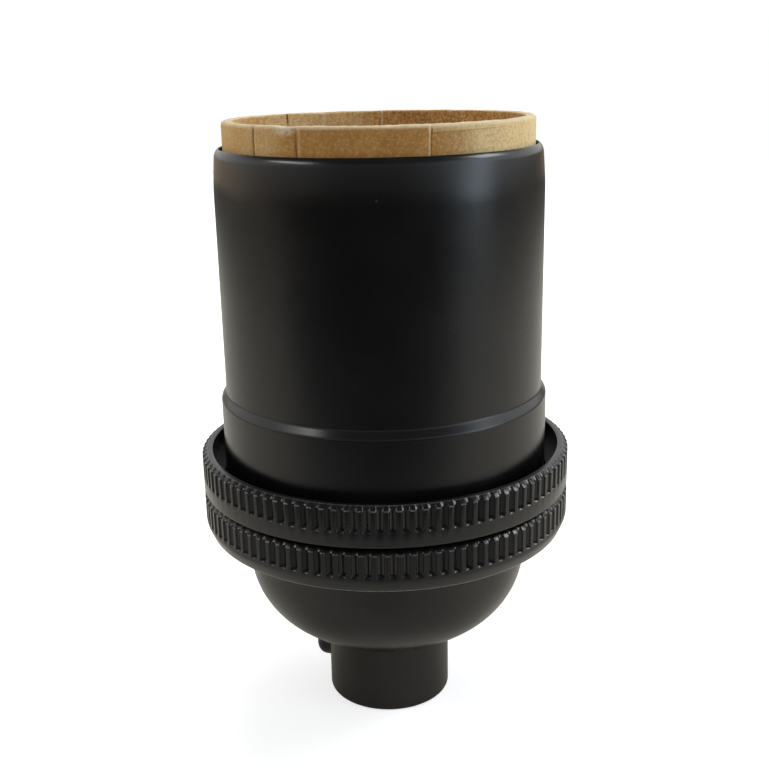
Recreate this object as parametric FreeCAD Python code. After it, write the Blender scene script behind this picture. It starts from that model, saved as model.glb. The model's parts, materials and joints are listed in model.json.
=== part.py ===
"""Keyless lamp holder for a 26 mm screw lamp.

A drawn cap on a threaded hub and a drawn shell are held together by two knurled
rings. A cardboard liner, a porcelain insulator and the brass contacts sit inside.
Millimetres, +Z up towards the lamp, origin at the centre of the hub's lower face.
"""
import FreeCAD
import Part
import math
import os

Vector = FreeCAD.Vector
AXIS = Vector(0, 0, 1)

# Clearances
RUNNING_FIT = 0.05          # radial, between a screw and its threaded hole
LOOSE_FIT = 0.30            # radial, between pieces that drop into each other
SMALL_FIT = 0.10            # radial, between a lining and what it lines

# Screw shell, rolled from brass strip
LAMP_PITCH = 3.629          # seven turns to the inch
LAMP_MINOR_RADIUS = 12.45
LAMP_THREAD_DEPTH = 0.85
BRASS_WALL = 0.35
SCREW_SHELL_HEIGHT = 24.5
LAMP_THREAD_START = 2.0     # plain collar below the thread
LAMP_TURNS = 5
SECTIONS_PER_TURN = 6
FLOOR_RING_WIDTH = 3.45     # of the screw shell's floor, round its hole

# Wound cardboard liner
LINER_GAP = 1.3             # radial, round the screw shell
LINER_WALL = 1.1
LINER_PROUD = 2.6           # stands this far out of the shell
LINER_ROUNDING = 0.3

# Shell, drawn from sheet
SHELL_GAP = 0.35            # radial, round the liner
SHELL_WALL = 0.5
SHOULDER_STEP = 0.53        # the skirt is this much wider
SHOULDER_HEIGHT = 0.8
SHOULDER_ROUNDING = 0.4
SKIRT_HEIGHT = 12.5         # above the flange
SHELL_HEIGHT = 25.2         # above the shoulder
SHELL_BEND = 0.25           # above its flange
NECK_IN = 0.25              # drawn in towards the rim
NECK_IN_HEIGHT = 3.8
RIM_ROUNDING = 1.1
RIM_SLOPE = 0.55            # drop from the rim's lip to its corner
RIM_GAP = 0.1               # between the rim and the liner

# Knurled rings
SPIGOT_WALL = 0.72          # of the shell's ring, inside the cap's ring
RING_WALL = 1.4             # of the cap's ring, round the thread
RING_FOOT_INSET = 0.5
RING_FOOT_BEVEL = 1.2       # height of the bevel above the foot
RING_EDGE = 0.2
CAP_RING_HEIGHT = 4.35
LEDGE = 1.0                 # carries the cap's flange
RING_SEAM = 0.35            # left between the two rings when they are tight
SHELL_RING_HEIGHT = 4.2     # from the seam to its top
RING_LIP_CHAMFER = 0.55     # inwards, on top of the knurling
RING_LIP_HEIGHT = 0.4
RING_THREAD_CHAMFER = 0.3
RING_MOUTH_GAP = 1.32       # wide mouth round the shell's skirt
RING_MOUTH_DEPTH = 3.2
RING_BAND_HEIGHT = 1.5      # plain band below the shell ring's knurling

# Straight knurling
KNURL_COUNT = 100
KNURL_CREST = 0.42          # width left between grooves
KNURL_FLOOR = 0.62          # width of a groove's floor
KNURL_DEPTH = 0.4
KNURL_RUN_OUT = 0.3         # slope at a groove's lower end
CAP_KNURL_RISE = 1.55       # lower end of the grooves above the ring's foot

# Hub that screws on the stem
HUB_RADIUS = 6.85
HUB_HEIGHT = 7.7
HUB_EDGE = 0.25             # broken edge at its foot
STEM_BORE_RADIUS = 4.45     # inside a 1/8 inch pipe thread
BORE_CHAMFER = 0.40
NECK_WALL = 1.35            # passes through the cap
STAKE_SPREAD = 0.7          # neck spread over the inside of the cap
STAKE_HEIGHT = 0.5

# Set screw, turned towards the back left
SET_SCREW_RADIUS = 1.9
SET_SCREW_HEIGHT = 4.05     # above the hub's foot
SET_SCREW_PROUD = 2.1       # outside the hub
SET_SCREW_TIP_GAP = 0.45    # tip stops this far outside the stem's bore
SET_SCREW_ANGLE = 160.0     # degrees round from +X
SET_SCREW_ROUNDING = 1.1
SET_SCREW_POINT = 0.6
SOCKET_RADIUS = 0.95        # of the hexagon, across its corners' circle
SOCKET_DEPTH = 1.6

# Cap, drawn from sheet
CAP_WALL = 0.6
FLANGE_WIDTH = 2.85         # of the cap's flange, outside its straight side
KNUCKLE_RADIUS = 9.0        # of the rounded bottom, next to the side
CROWN_EXCESS = 3.75         # the flatter middle's radius over the cap's
CAP_STRAIGHT = 4.6          # from the knuckle up to the flange
CAP_BEND = 0.25             # under its flange

# Fibre lining inside the cap
LINING_WALL = 0.4
LINING_DROP = 1.2           # below the cap's flange
LINING_HOLE_GAP = 0.4       # clear of the staked neck

# Porcelain insulator
FOOT_GAP = 0.5              # radial, inside the shell's skirt
FOOT_HEIGHT = 2.0
UPPER_HEIGHT = 8.2          # above the foot
UPPER_GAP = 0.5             # radial, inside the liner
BOSS_HEIGHT = 7.8           # below the foot
SEAT_DEPTH = 0.9            # of the terminals' seats in the boss
GLAZE_ROUNDING = 0.5

# Rivets
RIVET_RADIUS = 0.9
RIVET_HEAD_RADIUS = 1.45
RIVET_HEAD_HEIGHT = 0.6
RIVET_HEAD_CHAMFER = 0.3
FLOOR_RIVET_GAP = 0.05      # between the screw shell's wall and a rivet's head
CONTACT_RIVET_GAP = 0.5     # between the live terminal's screw and the rivet

# Centre contact, a sprung brass tongue
TONGUE_WALL = 0.4
TONGUE_WIDTH = 4.6
TONGUE_RISE = 3.2
TONGUE_REACH = 3.4          # past the axis
TONGUE_PAD = 1.7            # half its seat's length
TONGUE_GAP = 0.3            # over and under its seat, for the spring's tilt
TONGUE_HOLE_GAP = 0.3

# Terminals
PLATE_WALL = 0.8
PLATE_WIDTH = 6.0
PLATE_RISE = 6.2            # height of the upright leg
TAB_REACH = 1.8             # past the rivet
TERMINAL_SCREW_RADIUS = 1.6
TERMINAL_SCREW_LENGTH = 2.2
TERMINAL_HEAD_RADIUS = 2.6
TERMINAL_HEAD_HEIGHT = 1.5
TERMINAL_HEAD_ROUNDING = 0.3
SLOT_WIDTH = 0.7
SLOT_DEPTH = 0.9
TERMINAL_SCREW_DROP = 4.2   # below the foot of the insulator
SCREW_HOLE_END_GAP = 0.3

# Radii that follow, from the lamp's thread outwards
LAMP_MAJOR_RADIUS = LAMP_MINOR_RADIUS + LAMP_THREAD_DEPTH
LINER_BORE = LAMP_MAJOR_RADIUS + BRASS_WALL + LINER_GAP
LINER_RADIUS = LINER_BORE + LINER_WALL
SHELL_BORE = LINER_RADIUS + SHELL_GAP
SHELL_RADIUS = SHELL_BORE + SHELL_WALL
SKIRT_RADIUS = SHELL_RADIUS + SHOULDER_STEP
SPIGOT_BORE = SKIRT_RADIUS + LOOSE_FIT
SPIGOT_RADIUS = SPIGOT_BORE + SPIGOT_WALL
RING_THREAD_RADIUS = SPIGOT_RADIUS + RUNNING_FIT
RING_RADIUS = RING_THREAD_RADIUS + RING_WALL
RING_MOUTH_RADIUS = SKIRT_RADIUS + RING_MOUTH_GAP
FLANGE_RADIUS = RING_THREAD_RADIUS - LOOSE_FIT
CAP_RADIUS = FLANGE_RADIUS - FLANGE_WIDTH
CROWN_RADIUS = CAP_RADIUS + CROWN_EXCESS
FOOT_RADIUS = SKIRT_RADIUS - SHELL_WALL - FOOT_GAP
SHELL_FLOOR_HOLE = LAMP_MINOR_RADIUS - FLOOR_RING_WIDTH
SHELL_RIVET_PLACE = LAMP_MINOR_RADIUS - FLOOR_RIVET_GAP - RIVET_HEAD_RADIUS
BOSS_FLAT = SHELL_RIVET_PLACE - RIVET_HEAD_RADIUS - SMALL_FIT - PLATE_WALL
BOSS_RADIUS = BOSS_FLAT + SEAT_DEPTH
CONTACT_RIVET_PLACE = BOSS_FLAT - TERMINAL_SCREW_LENGTH - CONTACT_RIVET_GAP - RIVET_RADIUS
NECK_RADIUS = STEM_BORE_RADIUS + NECK_WALL
STAKE_RADIUS = NECK_RADIUS + STAKE_SPREAD
SET_SCREW_END = HUB_RADIUS + SET_SCREW_PROUD

# Levels that follow, from the hub's foot upwards
CROWN_LEVEL = HUB_HEIGHT + math.sqrt(CROWN_RADIUS ** 2 - HUB_RADIUS ** 2)
KNUCKLE_LEVEL = CROWN_LEVEL - math.sqrt((CROWN_RADIUS - KNUCKLE_RADIUS) ** 2
                                        - (CAP_RADIUS - KNUCKLE_RADIUS) ** 2)
FLANGE_SEAT = KNUCKLE_LEVEL + CAP_STRAIGHT
RING_FOOT_LEVEL = FLANGE_SEAT - LEDGE
CAP_TOP = FLANGE_SEAT + CAP_WALL
SHELL_FLANGE_TOP = CAP_TOP + SHELL_WALL
CAP_RING_TOP = RING_FOOT_LEVEL + CAP_RING_HEIGHT
SHELL_RING_FOOT = CAP_RING_TOP + RING_SEAM
SHELL_RING_TOP = SHELL_RING_FOOT + SHELL_RING_HEIGHT
SKIRT_TOP = SHELL_FLANGE_TOP + SKIRT_HEIGHT
SHOULDER_TOP = SKIRT_TOP + SHOULDER_HEIGHT
SHELL_TOP = SHOULDER_TOP + SHELL_HEIGHT
LINER_TOP = SHELL_TOP + LINER_PROUD
LINING_TOP = FLANGE_SEAT - LINING_DROP
FOOT_TOP = CAP_TOP + FOOT_HEIGHT
INSULATOR_TOP = FOOT_TOP + UPPER_HEIGHT
BOSS_FOOT = CAP_TOP - BOSS_HEIGHT
TERMINAL_SCREW_LEVEL = CAP_TOP - TERMINAL_SCREW_DROP


def section(corners):
    """Closed half section; each corner is a radius, a height and its rounding."""
    points = [Vector(radius, 0, height) for radius, height, _ in corners]
    starts, ends, arcs = [], [], []
    for index, point in enumerate(points):
        back = (points[index - 1] - point).normalize()
        ahead = (points[(index + 1) % len(points)] - point).normalize()
        rounding = corners[index][2]
        half = back.getAngle(ahead) / 2
        reach = rounding / math.tan(half)
        start, end = point + back * reach, point + ahead * reach
        if rounding:
            inward = (back + ahead).normalize()
            middle = point + inward * (rounding / math.sin(half) - rounding)
            arcs.append(Part.Arc(start, middle, end).toShape())
        starts.append(start)
        ends.append(end)
    sides = []
    for index, end in enumerate(ends):
        start = starts[(index + 1) % len(starts)]
        if end.distanceToPoint(start) > 1e-6:
            sides.append(Part.LineSegment(end, start).toShape())
    return Part.Wire(Part.sortEdges(sides + arcs)[0])


def turned(outline):
    """Solid of revolution round the main axis."""
    return Part.Face(outline).revolve(Vector(0, 0, 0), AXIS, 360)


def rod(radius, start, end):
    """Round bar between two points."""
    return Part.makeCylinder(radius, (end - start).Length, start, end - start)


def block(low, high):
    """Box between two corners."""
    size = Vector(high) - Vector(low)
    return Part.makeBox(size.x, size.y, size.z, Vector(low))


def hub():
    """Turned hub, its neck spread over the cap's floor."""
    floor_top = HUB_HEIGHT + CAP_WALL
    top = floor_top + STAKE_HEIGHT
    body = turned(section([
        (STEM_BORE_RADIUS + BORE_CHAMFER, 0, 0),
        (HUB_RADIUS - HUB_EDGE, 0, 0),
        (HUB_RADIUS, HUB_EDGE, 0),
        (HUB_RADIUS, HUB_HEIGHT, 0),
        (NECK_RADIUS, HUB_HEIGHT, 0),
        (NECK_RADIUS, floor_top, 0),
        (STAKE_RADIUS, floor_top, 0),
        (STAKE_RADIUS, top, STAKE_HEIGHT / 2),
        (STEM_BORE_RADIUS + BORE_CHAMFER, top, 0),
        (STEM_BORE_RADIUS, top - BORE_CHAMFER, 0),
        (STEM_BORE_RADIUS, BORE_CHAMFER, 0),
    ]))
    return body.cut(rod(SET_SCREW_RADIUS + RUNNING_FIT, set_screw_point(0),
                        set_screw_point(SET_SCREW_END)))


def set_screw_point(distance):
    """Point on the set screw's axis, at a distance from the hub's axis."""
    angle = math.radians(SET_SCREW_ANGLE)
    return Vector(distance * math.cos(angle), distance * math.sin(angle), SET_SCREW_HEIGHT)


def set_screw():
    """Screw with a cone point, a rounded outer end and a hexagon socket."""
    length = SET_SCREW_END - STEM_BORE_RADIUS - SET_SCREW_TIP_GAP
    body = turned(section([
        (0, 0, 0),
        (SET_SCREW_RADIUS - SET_SCREW_POINT, 0, 0),
        (SET_SCREW_RADIUS, SET_SCREW_POINT, 0),
        (SET_SCREW_RADIUS, length, SET_SCREW_ROUNDING),
        (0, length, 0),
    ]))
    corners = []
    for index in range(7):
        angle = math.radians(60 * index)
        corners.append(Vector(SOCKET_RADIUS * math.cos(angle), SOCKET_RADIUS * math.sin(angle), length))
    socket = Part.Face(Part.makePolygon(corners)).extrude(AXIS * -SOCKET_DEPTH)
    body = body.cut(socket)
    body.rotate(Vector(0, 0, 0), Vector(0, 1, 0), 90)
    body.rotate(Vector(0, 0, 0), AXIS, SET_SCREW_ANGLE)
    body.translate(set_screw_point(SET_SCREW_END - length))
    return body


def bowl_arcs(inset, floor):
    """Knuckle and crown arcs of the cap's bottom, set inwards, and where they meet the floor."""
    centre = Vector(CAP_RADIUS - KNUCKLE_RADIUS, 0, KNUCKLE_LEVEL)
    crown = Vector(0, 0, CROWN_LEVEL)
    knuckle_radius, crown_radius = KNUCKLE_RADIUS - inset, CROWN_RADIUS - inset
    joint_way = (centre - crown).normalize()
    joint = crown + joint_way * crown_radius
    middle_way = (joint_way + Vector(1, 0, 0)).normalize()
    side = centre + Vector(knuckle_radius, 0, 0)
    knuckle = Part.Arc(side, centre + middle_way * knuckle_radius, joint).toShape()
    meet = Vector(math.sqrt(crown_radius ** 2 - (CROWN_LEVEL - floor) ** 2), 0, floor)
    half_way = (joint + meet) * 0.5 - crown
    flat = Part.Arc(joint, crown + half_way.normalize() * crown_radius, meet).toShape()
    return [knuckle, flat], meet.x


def bowl(outer_inset, inner_inset, hole, top):
    """Drawn bowl between two insets, with a hole in its floor and a rim cut off square."""
    outer_floor, inner_floor = HUB_HEIGHT + outer_inset, HUB_HEIGHT + inner_inset
    outer, outer_meet = bowl_arcs(outer_inset, outer_floor)
    inner, inner_meet = bowl_arcs(inner_inset, inner_floor)
    outer_side, inner_side = CAP_RADIUS - outer_inset, CAP_RADIUS - inner_inset
    side = [(outer_side, KNUCKLE_LEVEL), (outer_side, top), (inner_side, top), (inner_side, KNUCKLE_LEVEL)]
    floor = [(inner_meet, inner_floor), (hole, inner_floor), (hole, outer_floor),
             (outer_meet, outer_floor)]
    edges = outer + inner
    for run in (side, floor):
        points = [Vector(radius, 0, height) for radius, height in run]
        edges += Part.makePolygon(points).Edges
    return turned(Part.Wire(Part.sortEdges(edges)[0]))


def cap():
    """Drawn cap: rounded bottom, straight side and a flange turned outwards."""
    bend_foot = FLANGE_SEAT - CAP_BEND - CAP_WALL
    body = bowl(0, CAP_WALL, NECK_RADIUS + RUNNING_FIT, bend_foot)
    inside = CAP_RADIUS - CAP_WALL
    flange = turned(section([
        (CAP_RADIUS, bend_foot, 0),
        (CAP_RADIUS, FLANGE_SEAT, CAP_BEND),
        (FLANGE_RADIUS, FLANGE_SEAT, 0),
        (FLANGE_RADIUS, CAP_TOP, 0),
        (inside, CAP_TOP, CAP_BEND + CAP_WALL),
        (inside, bend_foot, 0),
    ]))
    return body.fuse(flange).removeSplitter()


def cap_lining():
    """Fibre cup that keeps the wires off the cap."""
    outer = CAP_WALL + SMALL_FIT
    return bowl(outer, outer + LINING_WALL, STAKE_RADIUS + LINING_HOLE_GAP, LINING_TOP)


def knurled(ring, low, high):
    """Ring with straight grooves, open at the top and running out below."""
    pitch = 2 * math.pi * RING_RADIUS / KNURL_COUNT
    mouth = (pitch - KNURL_CREST) / 2
    floor = KNURL_FLOOR / 2
    flare = (mouth - floor) / KNURL_DEPTH
    beyond = RING_RADIUS + KNURL_DEPTH
    wide = mouth + flare * KNURL_DEPTH
    inner = RING_RADIUS - KNURL_DEPTH
    bar = Part.Face(Part.makePolygon([
        Vector(inner, -floor, low - KNURL_RUN_OUT), Vector(beyond, -wide, low - KNURL_RUN_OUT),
        Vector(beyond, wide, low - KNURL_RUN_OUT), Vector(inner, floor, low - KNURL_RUN_OUT),
        Vector(inner, -floor, low - KNURL_RUN_OUT),
    ])).extrude(AXIS * (high - low + 2 * KNURL_RUN_OUT))
    side = Part.Face(Part.makePolygon([
        Vector(inner, -wide, low + KNURL_RUN_OUT), Vector(beyond, -wide, low - KNURL_RUN_OUT),
        Vector(beyond, -wide, high + KNURL_RUN_OUT), Vector(inner, -wide, high + KNURL_RUN_OUT),
        Vector(inner, -wide, low + KNURL_RUN_OUT),
    ])).extrude(Vector(0, 2 * wide, 0))
    groove = bar.common(side)
    grooves = []
    for index in range(KNURL_COUNT):
        copy = groove.copy()
        copy.rotate(Vector(0, 0, 0), AXIS, 360.0 * index / KNURL_COUNT)
        grooves.append(copy)
    return ring.cut(Part.makeCompound(grooves))


def cap_ring():
    """Knurled ring with a ledge under the cap's flange and a threaded bore above."""
    body = turned(section([
        (CAP_RADIUS + LOOSE_FIT, RING_FOOT_LEVEL, 0),
        (RING_RADIUS - RING_FOOT_INSET, RING_FOOT_LEVEL, RING_EDGE),
        (RING_RADIUS, RING_FOOT_LEVEL + RING_FOOT_BEVEL, 0),
        (RING_RADIUS, CAP_RING_TOP - RING_LIP_HEIGHT, 0),
        (RING_RADIUS - RING_LIP_CHAMFER, CAP_RING_TOP, 0),
        (RING_THREAD_RADIUS + RING_THREAD_CHAMFER, CAP_RING_TOP, 0),
        (RING_THREAD_RADIUS, CAP_RING_TOP - RING_THREAD_CHAMFER, 0),
        (RING_THREAD_RADIUS, FLANGE_SEAT, 0),
        (CAP_RADIUS + LOOSE_FIT, FLANGE_SEAT, 0),
    ]))
    return knurled(body, RING_FOOT_LEVEL + CAP_KNURL_RISE, CAP_RING_TOP)


def shell_ring():
    """Knurled ring whose threaded spigot clamps the shell's flange on the cap's."""
    body = turned(section([
        (SPIGOT_BORE, SHELL_FLANGE_TOP, 0),
        (SPIGOT_RADIUS - RING_THREAD_CHAMFER, SHELL_FLANGE_TOP, 0),
        (SPIGOT_RADIUS, SHELL_FLANGE_TOP + RING_THREAD_CHAMFER, 0),
        (SPIGOT_RADIUS, SHELL_RING_FOOT, 0),
        (RING_RADIUS, SHELL_RING_FOOT, RING_EDGE),
        (RING_RADIUS, SHELL_RING_TOP - RING_LIP_HEIGHT, 0),
        (RING_RADIUS - RING_LIP_CHAMFER, SHELL_RING_TOP, 0),
        (RING_MOUTH_RADIUS, SHELL_RING_TOP, 0),
        (RING_MOUTH_RADIUS, SHELL_RING_TOP - RING_MOUTH_DEPTH, 0),
        (SPIGOT_BORE, SHELL_RING_TOP - RING_MOUTH_DEPTH, 0),
    ]))
    return knurled(body, SHELL_RING_FOOT + RING_BAND_HEIGHT, SHELL_RING_TOP)


def shell():
    """Drawn shell: flange, skirt, shoulder and a necked rim turned in over the liner."""
    lip = LINER_RADIUS + RIM_GAP
    corner = SHELL_TOP - RIM_SLOPE
    return turned(section([
        (FLANGE_RADIUS, CAP_TOP, 0),
        (FLANGE_RADIUS, SHELL_FLANGE_TOP, 0),
        (SKIRT_RADIUS, SHELL_FLANGE_TOP, SHELL_BEND),
        (SKIRT_RADIUS, SKIRT_TOP, SHOULDER_ROUNDING / 2),
        (SHELL_RADIUS, SHOULDER_TOP, SHOULDER_ROUNDING),
        (SHELL_RADIUS, SHELL_TOP - NECK_IN_HEIGHT, 0),
        (SHELL_RADIUS - NECK_IN, corner, RIM_ROUNDING),
        (lip, SHELL_TOP, 0),
        (lip, SHELL_TOP - SHELL_WALL, 0),
        (SHELL_BORE - NECK_IN, corner - SHELL_WALL, 0),
        (SHELL_BORE, SHELL_TOP - NECK_IN_HEIGHT, 0),
        (SHELL_BORE, SHOULDER_TOP, 0),
        (SKIRT_RADIUS - SHELL_WALL, SKIRT_TOP, 0),
        (SKIRT_RADIUS - SHELL_WALL, CAP_TOP, SHELL_BEND + SHELL_WALL),
    ]))


def liner():
    """Wound cardboard tube that stands on the insulator's foot."""
    return turned(section([
        (LINER_BORE, FOOT_TOP, 0),
        (LINER_RADIUS, FOOT_TOP, 0),
        (LINER_RADIUS, LINER_TOP, LINER_ROUNDING),
        (LINER_BORE, LINER_TOP, LINER_ROUNDING),
    ]))


def insulator():
    """Porcelain body with seats for the terminals and holes for the rivets."""
    upper = LINER_BORE - UPPER_GAP
    body = turned(section([
        (0, BOSS_FOOT, 0),
        (BOSS_RADIUS, BOSS_FOOT, GLAZE_ROUNDING),
        (BOSS_RADIUS, CAP_TOP, 0),
        (FOOT_RADIUS, CAP_TOP, 0),
        (FOOT_RADIUS, FOOT_TOP, GLAZE_ROUNDING / 2),
        (upper, FOOT_TOP, 0),
        (upper, INSULATOR_TOP, GLAZE_ROUNDING),
        (0, INSULATOR_TOP, 0),
    ]))
    for side in (-1, 1):
        body = body.cut(block((min(side * BOSS_FLAT, side * 2 * BOSS_RADIUS), -BOSS_RADIUS, 0),
                              (max(side * BOSS_FLAT, side * 2 * BOSS_RADIUS), BOSS_RADIUS, CAP_TOP)))
        body = body.cut(rod(RIVET_RADIUS + SMALL_FIT, Vector(side * SHELL_RIVET_PLACE, 0, CAP_TOP),
                            Vector(side * SHELL_RIVET_PLACE, 0, INSULATOR_TOP)))
        depth = TERMINAL_SCREW_LENGTH + SCREW_HOLE_END_GAP
        body = body.cut(rod(TERMINAL_SCREW_RADIUS + LOOSE_FIT,
                            Vector(side * (BOSS_FLAT - depth), 0, TERMINAL_SCREW_LEVEL),
                            Vector(side * BOSS_RADIUS, 0, TERMINAL_SCREW_LEVEL)))
    return body.cut(rod(RIVET_RADIUS + SMALL_FIT, Vector(-CONTACT_RIVET_PLACE, 0, BOSS_FOOT),
                        Vector(-CONTACT_RIVET_PLACE, 0, INSULATOR_TOP)))


def helical_skin(inner_minor, inner_major, low, high, start):
    """Threaded plug: a round section whose centre circles the axis once a pitch."""
    radius = (inner_minor + inner_major) / 2
    throw = (inner_major - inner_minor) / 2
    step = LAMP_PITCH / SECTIONS_PER_TURN
    wires = [Part.Wire(Part.makeCircle(radius, Vector(0, 0, low), AXIS))]
    for index in range(LAMP_TURNS * SECTIONS_PER_TURN + 1):
        fade = min(1, index / SECTIONS_PER_TURN, LAMP_TURNS - index / SECTIONS_PER_TURN)
        angle = 2 * math.pi * index / SECTIONS_PER_TURN
        centre = Vector(throw * fade * math.cos(angle), throw * fade * math.sin(angle), start + index * step)
        wires.append(Part.Wire(Part.makeCircle(radius, centre, AXIS)))
    wires.append(Part.Wire(Part.makeCircle(radius, Vector(0, 0, high), AXIS)))
    return Part.makeLoft(wires, True, True)


def screw_shell():
    """Rolled brass shell with the lamp's thread and a pierced floor."""
    top = INSULATOR_TOP + SCREW_SHELL_HEIGHT
    start = INSULATOR_TOP + LAMP_THREAD_START
    outer = helical_skin(LAMP_MINOR_RADIUS + BRASS_WALL, LAMP_MAJOR_RADIUS + BRASS_WALL,
                         INSULATOR_TOP, top, start)
    inner = helical_skin(LAMP_MINOR_RADIUS, LAMP_MAJOR_RADIUS, INSULATOR_TOP, top, start)
    floor_top = INSULATOR_TOP + BRASS_WALL
    above_floor = rod(LAMP_MAJOR_RADIUS + BRASS_WALL, Vector(0, 0, floor_top), Vector(0, 0, top))
    body = outer.cut(inner.common(above_floor))
    body = body.cut(rod(SHELL_FLOOR_HOLE, Vector(0, 0, INSULATOR_TOP - BRASS_WALL), Vector(0, 0, floor_top)))
    for side in (-1, 1):
        body = body.cut(rod(RIVET_RADIUS + SMALL_FIT, Vector(side * SHELL_RIVET_PLACE, 0, INSULATOR_TOP),
                            Vector(side * SHELL_RIVET_PLACE, 0, floor_top)))
    return body


def rivet(place, low, high):
    """Rivet along Z that clamps what lies between two levels."""
    foot, head = low - RIVET_HEAD_HEIGHT, high + RIVET_HEAD_HEIGHT
    body = turned(section([
        (0, foot, 0),
        (RIVET_HEAD_RADIUS - RIVET_HEAD_CHAMFER, foot, 0),
        (RIVET_HEAD_RADIUS, foot + RIVET_HEAD_CHAMFER, 0),
        (RIVET_HEAD_RADIUS, low, 0),
        (RIVET_RADIUS, low, 0),
        (RIVET_RADIUS, high, 0),
        (RIVET_HEAD_RADIUS, high, 0),
        (RIVET_HEAD_RADIUS, head - RIVET_HEAD_CHAMFER, 0),
        (RIVET_HEAD_RADIUS - RIVET_HEAD_CHAMFER, head, 0),
        (0, head, 0),
    ]))
    body.translate(Vector(place, 0, 0))
    return body


def shell_rivets():
    """Two rivets that hold the screw shell; the right one also clamps the neutral plate."""
    floor_top = INSULATOR_TOP + BRASS_WALL
    return Part.makeCompound([
        rivet(-SHELL_RIVET_PLACE, CAP_TOP, floor_top),
        rivet(SHELL_RIVET_PLACE, CAP_TOP - PLATE_WALL, floor_top),
    ])


def contact_rivet():
    """Rivet through the insulator that holds the tongue and the live plate."""
    return rivet(-CONTACT_RIVET_PLACE, BOSS_FOOT - PLATE_WALL, tongue_seat() + TONGUE_WALL + TONGUE_GAP)


def tongue_seat():
    """Level of the underside of the tongue's pad."""
    return INSULATOR_TOP + TONGUE_GAP


def centre_contact():
    """Sprung tongue that rises over the axis, bent from one strip."""
    low = tongue_seat()
    foot, bend = -CONTACT_RIVET_PLACE - TONGUE_PAD, -CONTACT_RIVET_PLACE + TONGUE_PAD
    crown = low + TONGUE_RISE
    outline = section([
        (foot, low, 0),
        (bend, low, TONGUE_WALL * 2),
        (-TONGUE_WIDTH / 4, crown - TONGUE_WALL, TONGUE_WALL * 2),
        (TONGUE_REACH - TONGUE_WIDTH / 4, crown - TONGUE_WALL, TONGUE_WALL),
        (TONGUE_REACH, crown - 2 * TONGUE_WALL, 0),
        (TONGUE_REACH + TONGUE_WALL / 2, crown - TONGUE_WALL, 0),
        (TONGUE_REACH - TONGUE_WIDTH / 4, crown, TONGUE_WALL * 2),
        (-TONGUE_WIDTH / 4, crown, TONGUE_WALL * 3),
        (bend, low + TONGUE_WALL, TONGUE_WALL),
        (foot, low + TONGUE_WALL, 0),
    ])
    outline.translate(Vector(0, -TONGUE_WIDTH / 2, 0))
    body = Part.Face(outline).extrude(Vector(0, TONGUE_WIDTH, 0))
    return body.cut(rod(RIVET_RADIUS + TONGUE_HOLE_GAP, Vector(-CONTACT_RIVET_PLACE, 0, low - TONGUE_GAP),
                        Vector(-CONTACT_RIVET_PLACE, 0, low + TONGUE_RISE)))


def terminal_plate(side, tab_level, tab_end):
    """Upright leg on the boss's flat and a tab that a rivet clamps."""
    low, high = sorted((side * BOSS_FLAT, side * (BOSS_FLAT + PLATE_WALL)))
    leg_foot = min(tab_level, CAP_TOP - PLATE_RISE - PLATE_WALL)
    leg_top = max(tab_level + PLATE_WALL, BOSS_FOOT + PLATE_RISE)
    leg = block((low, -PLATE_WIDTH / 2, leg_foot), (high, PLATE_WIDTH / 2, leg_top))
    ends = sorted((tab_end, side * BOSS_FLAT, side * (BOSS_FLAT + PLATE_WALL)))
    tab = block((ends[0], -PLATE_WIDTH / 2, tab_level), (ends[-1], PLATE_WIDTH / 2, tab_level + PLATE_WALL))
    hole = rod(TERMINAL_SCREW_RADIUS + RUNNING_FIT, Vector(0, 0, TERMINAL_SCREW_LEVEL),
               Vector(side * 2 * BOSS_RADIUS, 0, TERMINAL_SCREW_LEVEL))
    return leg.fuse(tab).cut(hole).removeSplitter()


def live_terminal():
    """Plate under the boss, joined to the centre contact by its rivet."""
    plate = terminal_plate(-1, BOSS_FOOT - PLATE_WALL, -CONTACT_RIVET_PLACE + TAB_REACH)
    return plate.cut(rod(RIVET_RADIUS + SMALL_FIT, Vector(-CONTACT_RIVET_PLACE, 0, 0),
                         Vector(-CONTACT_RIVET_PLACE, 0, BOSS_FOOT)))


def neutral_terminal():
    """Plate under the foot, joined to the screw shell by its rivet."""
    plate = terminal_plate(1, CAP_TOP - PLATE_WALL, SHELL_RIVET_PLACE + TAB_REACH)
    return plate.cut(rod(RIVET_RADIUS + SMALL_FIT, Vector(SHELL_RIVET_PLACE, 0, BOSS_FOOT),
                         Vector(SHELL_RIVET_PLACE, 0, CAP_TOP)))


def terminal_screw(side):
    """Slotted round-headed screw, radial, with its head on the plate."""
    seat = BOSS_FLAT + PLATE_WALL
    tip = BOSS_FLAT - TERMINAL_SCREW_LENGTH
    end = seat + TERMINAL_HEAD_HEIGHT
    body = turned(section([
        (0, tip, 0),
        (TERMINAL_SCREW_RADIUS, tip, 0),
        (TERMINAL_SCREW_RADIUS, seat, 0),
        (TERMINAL_HEAD_RADIUS, seat, 0),
        (TERMINAL_HEAD_RADIUS, end, TERMINAL_HEAD_ROUNDING),
        (0, end, 0),
    ]))
    body = body.cut(block((-BOSS_RADIUS, -SLOT_WIDTH / 2, end - SLOT_DEPTH),
                          (BOSS_RADIUS, SLOT_WIDTH / 2, end + SLOT_DEPTH)))
    body.rotate(Vector(0, 0, 0), Vector(0, 1, 0), side * 90)
    body.translate(Vector(0, 0, TERMINAL_SCREW_LEVEL))
    return body


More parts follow.
